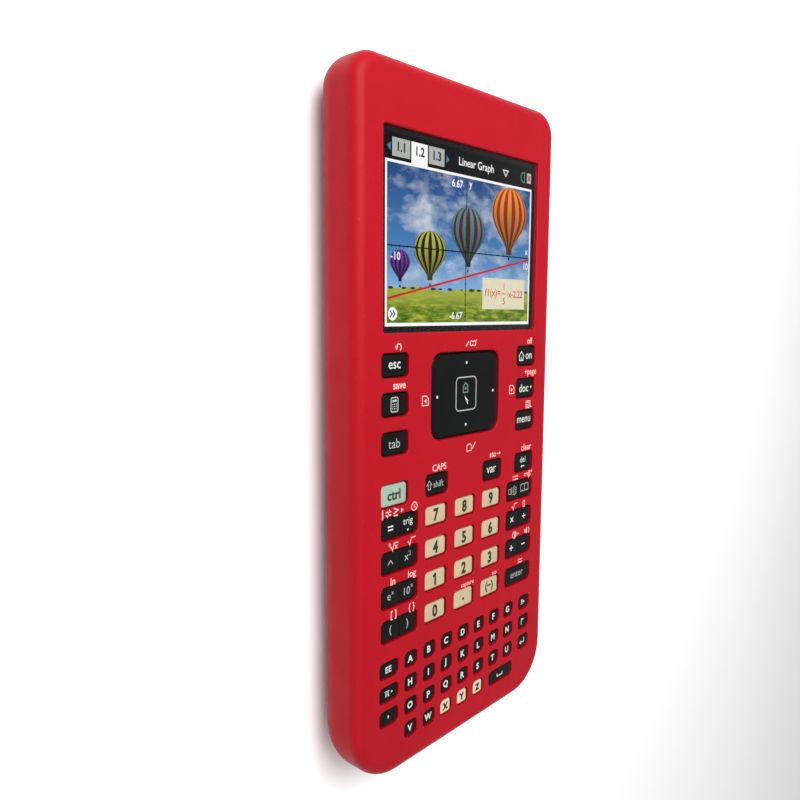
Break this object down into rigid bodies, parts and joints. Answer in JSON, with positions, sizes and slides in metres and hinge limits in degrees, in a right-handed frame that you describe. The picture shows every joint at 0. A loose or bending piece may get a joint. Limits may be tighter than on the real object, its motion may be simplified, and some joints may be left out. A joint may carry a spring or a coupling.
{
  "type": "graphing calculator",
  "caption": "Handheld graphing calculator with a colour screen, touchpad, number keys and letter keys, wrapped in a red silicone sleeve; keys and touchpad move.",
  "frame": {"origin": "middle of the footprint, on the surface that the sleeve's back rim lies on", "axes": "+Z out of the keys and screen, +Y towards the screen end, +X to the right of someone reading the screen"},
  "size_m": [0.091, 0.194, 0.019],
  "materials": {
    "red_silicone": "soft satin",
    "housing_plastic": "fine grain",
    "steel_screws": "satin",
    "clear_lens": "clear polished",
    "display": "gloss",
    "stamped_steel": "satin",
    "flex_film": "semi gloss",
    "green_board": "semi gloss",
    "chip_black": "matte",
    "mat_rubber": "matte",
    "battery_wrap": "semi gloss",
    "wire_sleeving": "satin",
    "light_pipe": "clear",
    "foot_rubber": "matte",
    "button_black": "matte",
    "touchpad_black": "satin",
    "white_acetal": "satin",
    "key_green_grey": "satin",
    "key_beige": "satin",
    "key_cream": "satin",
    "key_black": "satin"
  },
  "bodies": {
    "body": {"silicone_sleeve": "red_silicone", "front_housing": "housing_plastic", "rear_housing": "housing_plastic", "housing_screws": "steel_screws", "screen_lens": "clear_lens", "lcd_panel": "display", "lcd_frame": "stamped_steel", "lcd_flex": "flex_film", "main_board": "green_board", "board_chips": "chip_black", "shield_can": "stamped_steel", "key_mat": "mat_rubber", "battery_pack": "battery_wrap", "battery_lead": "wire_sleeving", "battery_cover": "housing_plastic", "battery_cover_screws": "steel_screws", "usb_socket": "stamped_steel", "dock_connector": "chip_black", "status_light": "light_pipe", "rubber_feet": "foot_rubber"},
    "key_esc": {"key_esc": "key_black"},
    "key_scratchpad": {"key_scratchpad": "key_black"},
    "key_tab": {"key_tab": "key_black"},
    "key_on": {"key_on": "key_black"},
    "key_doc": {"key_doc": "key_black"},
    "key_menu": {"key_menu": "key_black"},
    "key_ctrl": {"key_ctrl": "key_green_grey"},
    "key_shift": {"key_shift": "key_black"},
    "key_var": {"key_var": "key_black"},
    "key_del": {"key_del": "key_black"},
    "key_7": {"key_7": "key_beige"},
    "key_8": {"key_8": "key_beige"},
    "key_9": {"key_9": "key_beige"},
    "key_4": {"key_4": "key_beige"},
    "key_5": {"key_5": "key_beige"},
    "key_6": {"key_6": "key_beige"},
    "key_1": {"key_1": "key_beige"},
    "key_2": {"key_2": "key_beige"},
    "key_3": {"key_3": "key_beige"},
    "key_0": {"key_0": "key_beige"},
    "key_point": {"key_point": "key_beige"},
    "key_negate": {"key_negate": "key_beige"},
    "key_enter": {"key_enter": "key_black"},
    "key_equals_trig": {"key_equals_trig": "key_black"},
    "key_power_square": {"key_power_square": "key_black"},
    "key_exponentials": {"key_exponentials": "key_black"},
    "key_brackets": {"key_brackets": "key_black"},
    "key_template_catalog": {"key_template_catalog": "key_black"},
    "key_times_divide": {"key_times_divide": "key_black"},
    "key_plus_minus": {"key_plus_minus": "key_black"},
    "letter_keys_row_1": {"letter_keys_row_1": "key_black"},
    "letter_keys_row_2": {"letter_keys_row_2": "key_black"},
    "letter_keys_row_3": {"letter_keys_row_3": "key_black"},
    "letter_keys_row_4": {"letter_keys_row_4": "key_black"},
    "letter_keys_xyz": {"letter_keys_xyz": "key_cream"},
    "reset_button": {"reset_button": "button_black"},
    "touchpad_actuator": {"touchpad_actuator": "white_acetal"},
    "touchpad_plate": {"touchpad_plate": "stamped_steel"},
    "touchpad": {"touchpad": "touchpad_black", "touchpad_sensor": "green_board"}
  },
  "joints": [
    {"name": "esc_press", "type": "slide", "parent": "body", "child": "key_esc", "axis": [0, 0, -1], "range_m": [0, 0.0008], "stiffness_N_per_m": 600},
    {"name": "scratchpad_press", "type": "slide", "parent": "body", "child": "key_scratchpad", "axis": [0, 0, -1], "range_m": [0, 0.0008], "stiffness_N_per_m": 600},
    {"name": "tab_press", "type": "slide", "parent": "body", "child": "key_tab", "axis": [0, 0, -1], "range_m": [0, 0.0008], "stiffness_N_per_m": 600},
    {"name": "on_press", "type": "slide", "parent": "body", "child": "key_on", "axis": [0, 0, -1], "range_m": [0, 0.0008], "stiffness_N_per_m": 600},
    {"name": "doc_press", "type": "slide", "parent": "body", "child": "key_doc", "axis": [0, 0, -1], "range_m": [0, 0.0008], "stiffness_N_per_m": 600},
    {"name": "menu_press", "type": "slide", "parent": "body", "child": "key_menu", "axis": [0, 0, -1], "range_m": [0, 0.0008], "stiffness_N_per_m": 600},
    {"name": "ctrl_press", "type": "slide", "parent": "body", "child": "key_ctrl", "axis": [0, 0, -1], "range_m": [0, 0.0008], "stiffness_N_per_m": 600},
    {"name": "shift_press", "type": "slide", "parent": "body", "child": "key_shift", "axis": [0, 0, -1], "range_m": [0, 0.0008], "stiffness_N_per_m": 600},
    {"name": "var_press", "type": "slide", "parent": "body", "child": "key_var", "axis": [0, 0, -1], "range_m": [0, 0.0008], "stiffness_N_per_m": 600},
    {"name": "del_press", "type": "slide", "parent": "body", "child": "key_del", "axis": [0, 0, -1], "range_m": [0, 0.0008], "stiffness_N_per_m": 600},
    {"name": "7_press", "type": "slide", "parent": "body", "child": "key_7", "axis": [0, 0, -1], "range_m": [0, 0.0008], "stiffness_N_per_m": 600},
    {"name": "8_press", "type": "slide", "parent": "body", "child": "key_8", "axis": [0, 0, -1], "range_m": [0, 0.0008], "stiffness_N_per_m": 600},
    {"name": "9_press", "type": "slide", "parent": "body", "child": "key_9", "axis": [0, 0, -1], "range_m": [0, 0.0008], "stiffness_N_per_m": 600},
    {"name": "4_press", "type": "slide", "parent": "body", "child": "key_4", "axis": [0, 0, -1], "range_m": [0, 0.0008], "stiffness_N_per_m": 600},
    {"name": "5_press", "type": "slide", "parent": "body", "child": "key_5", "axis": [0, 0, -1], "range_m": [0, 0.0008], "stiffness_N_per_m": 600},
    {"name": "6_press", "type": "slide", "parent": "body", "child": "key_6", "axis": [0, 0, -1], "range_m": [0, 0.0008], "stiffness_N_per_m": 600},
    {"name": "1_press", "type": "slide", "parent": "body", "child": "key_1", "axis": [0, 0, -1], "range_m": [0, 0.0008], "stiffness_N_per_m": 600},
    {"name": "2_press", "type": "slide", "parent": "body", "child": "key_2", "axis": [0, 0, -1], "range_m": [0, 0.0008], "stiffness_N_per_m": 600},
    {"name": "3_press", "type": "slide", "parent": "body", "child": "key_3", "axis": [0, 0, -1], "range_m": [0, 0.0008], "stiffness_N_per_m": 600},
    {"name": "0_press", "type": "slide", "parent": "body", "child": "key_0", "axis": [0, 0, -1], "range_m": [0, 0.0008], "stiffness_N_per_m": 600},
    {"name": "point_press", "type": "slide", "parent": "body", "child": "key_point", "axis": [0, 0, -1], "range_m": [0, 0.0008], "stiffness_N_per_m": 600},
    {"name": "negate_press", "type": "slide", "parent": "body", "child": "key_negate", "axis": [0, 0, -1], "range_m": [0, 0.0008], "stiffness_N_per_m": 600},
    {"name": "enter_press", "type": "slide", "parent": "body", "child": "key_enter", "axis": [0, 0, -1], "range_m": [0, 0.0008], "stiffness_N_per_m": 600},
    {"name": "equals_trig_tip", "type": "hinge", "parent": "body", "child": "key_equals_trig", "pos_m": [-0.029, -0.0252, 0.0136], "axis": [0, 1, 0], "range_deg": [-2.5, 2.5], "stiffness_Nm_per_rad": 0.35},
    {"name": "power_square_tip", "type": "hinge", "parent": "body", "child": "key_power_square", "pos_m": [-0.029, -0.0348, 0.0136], "axis": [0, 1, 0], "range_deg": [-2.5, 2.5], "stiffness_Nm_per_rad": 0.35},
    {"name": "exponentials_tip", "type": "hinge", "parent": "body", "child": "key_exponentials", "pos_m": [-0.029, -0.0444, 0.0136], "axis": [0, 1, 0], "range_deg": [-2.5, 2.5], "stiffness_Nm_per_rad": 0.35},
    {"name": "brackets_tip", "type": "hinge", "parent": "body", "child": "key_brackets", "pos_m": [-0.029, -0.054, 0.0136], "axis": [0, 1, 0], "range_deg": [-2.5, 2.5], "stiffness_Nm_per_rad": 0.35},
    {"name": "template_catalog_tip", "type": "hinge", "parent": "body", "child": "key_template_catalog", "pos_m": [0.029, -0.0252, 0.0136], "axis": [0, 1, 0], "range_deg": [-2.5, 2.5], "stiffness_Nm_per_rad": 0.35},
    {"name": "times_divide_tip", "type": "hinge", "parent": "body", "child": "key_times_divide", "pos_m": [0.029, -0.0348, 0.0136], "axis": [0, 1, 0], "range_deg": [-2.5, 2.5], "stiffness_Nm_per_rad": 0.35},
    {"name": "plus_minus_tip", "type": "hinge", "parent": "body", "child": "key_plus_minus", "pos_m": [0.029, -0.0444, 0.0136], "axis": [0, 1, 0], "range_deg": [-2.5, 2.5], "stiffness_Nm_per_rad": 0.35},
    {"name": "letter_keys_row_1_press", "type": "slide", "parent": "body", "child": "letter_keys_row_1", "axis": [0, 0, -1], "range_m": [0, 0.0008], "stiffness_N_per_m": 2000},
    {"name": "letter_keys_row_2_press", "type": "slide", "parent": "body", "child": "letter_keys_row_2", "axis": [0, 0, -1], "range_m": [0, 0.0008], "stiffness_N_per_m": 2000},
    {"name": "letter_keys_row_3_press", "type": "slide", "parent": "body", "child": "letter_keys_row_3", "axis": [0, 0, -1], "range_m": [0, 0.0008], "stiffness_N_per_m": 2000},
    {"name": "letter_keys_row_4_press", "type": "slide", "parent": "body", "child": "letter_keys_row_4", "axis": [0, 0, -1], "range_m": [0, 0.0008], "stiffness_N_per_m": 2000},
    {"name": "letter_keys_xyz_press", "type": "slide", "parent": "body", "child": "letter_keys_xyz", "axis": [0, 0, -1], "range_m": [0, 0.0008], "stiffness_N_per_m": 2000},
    {"name": "reset_press", "type": "slide", "parent": "body", "child": "reset_button", "axis": [0, 0, 1], "range_m": [0, 0.0008], "stiffness_N_per_m": 300},
    {"name": "touchpad_click", "type": "slide", "parent": "body", "child": "touchpad_actuator", "axis": [0, 0, -1], "range_m": [0, 0.0004], "stiffness_N_per_m": 3000},
    {"name": "touchpad_tilt_up_down", "type": "hinge", "parent": "touchpad_actuator", "child": "touchpad_plate", "pos_m": [0, 0.0088, 0.01415], "axis": [1, 0, 0], "range_deg": [-1.2, 1.2], "stiffness_Nm_per_rad": 1.2},
    {"name": "touchpad_tilt_left_right", "type": "hinge", "parent": "touchpad_plate", "child": "touchpad", "pos_m": [0, 0.0088, 0.01565], "axis": [0, 1, 0], "range_deg": [-1.2, 1.2], "stiffness_Nm_per_rad": 1.2}
  ]
}
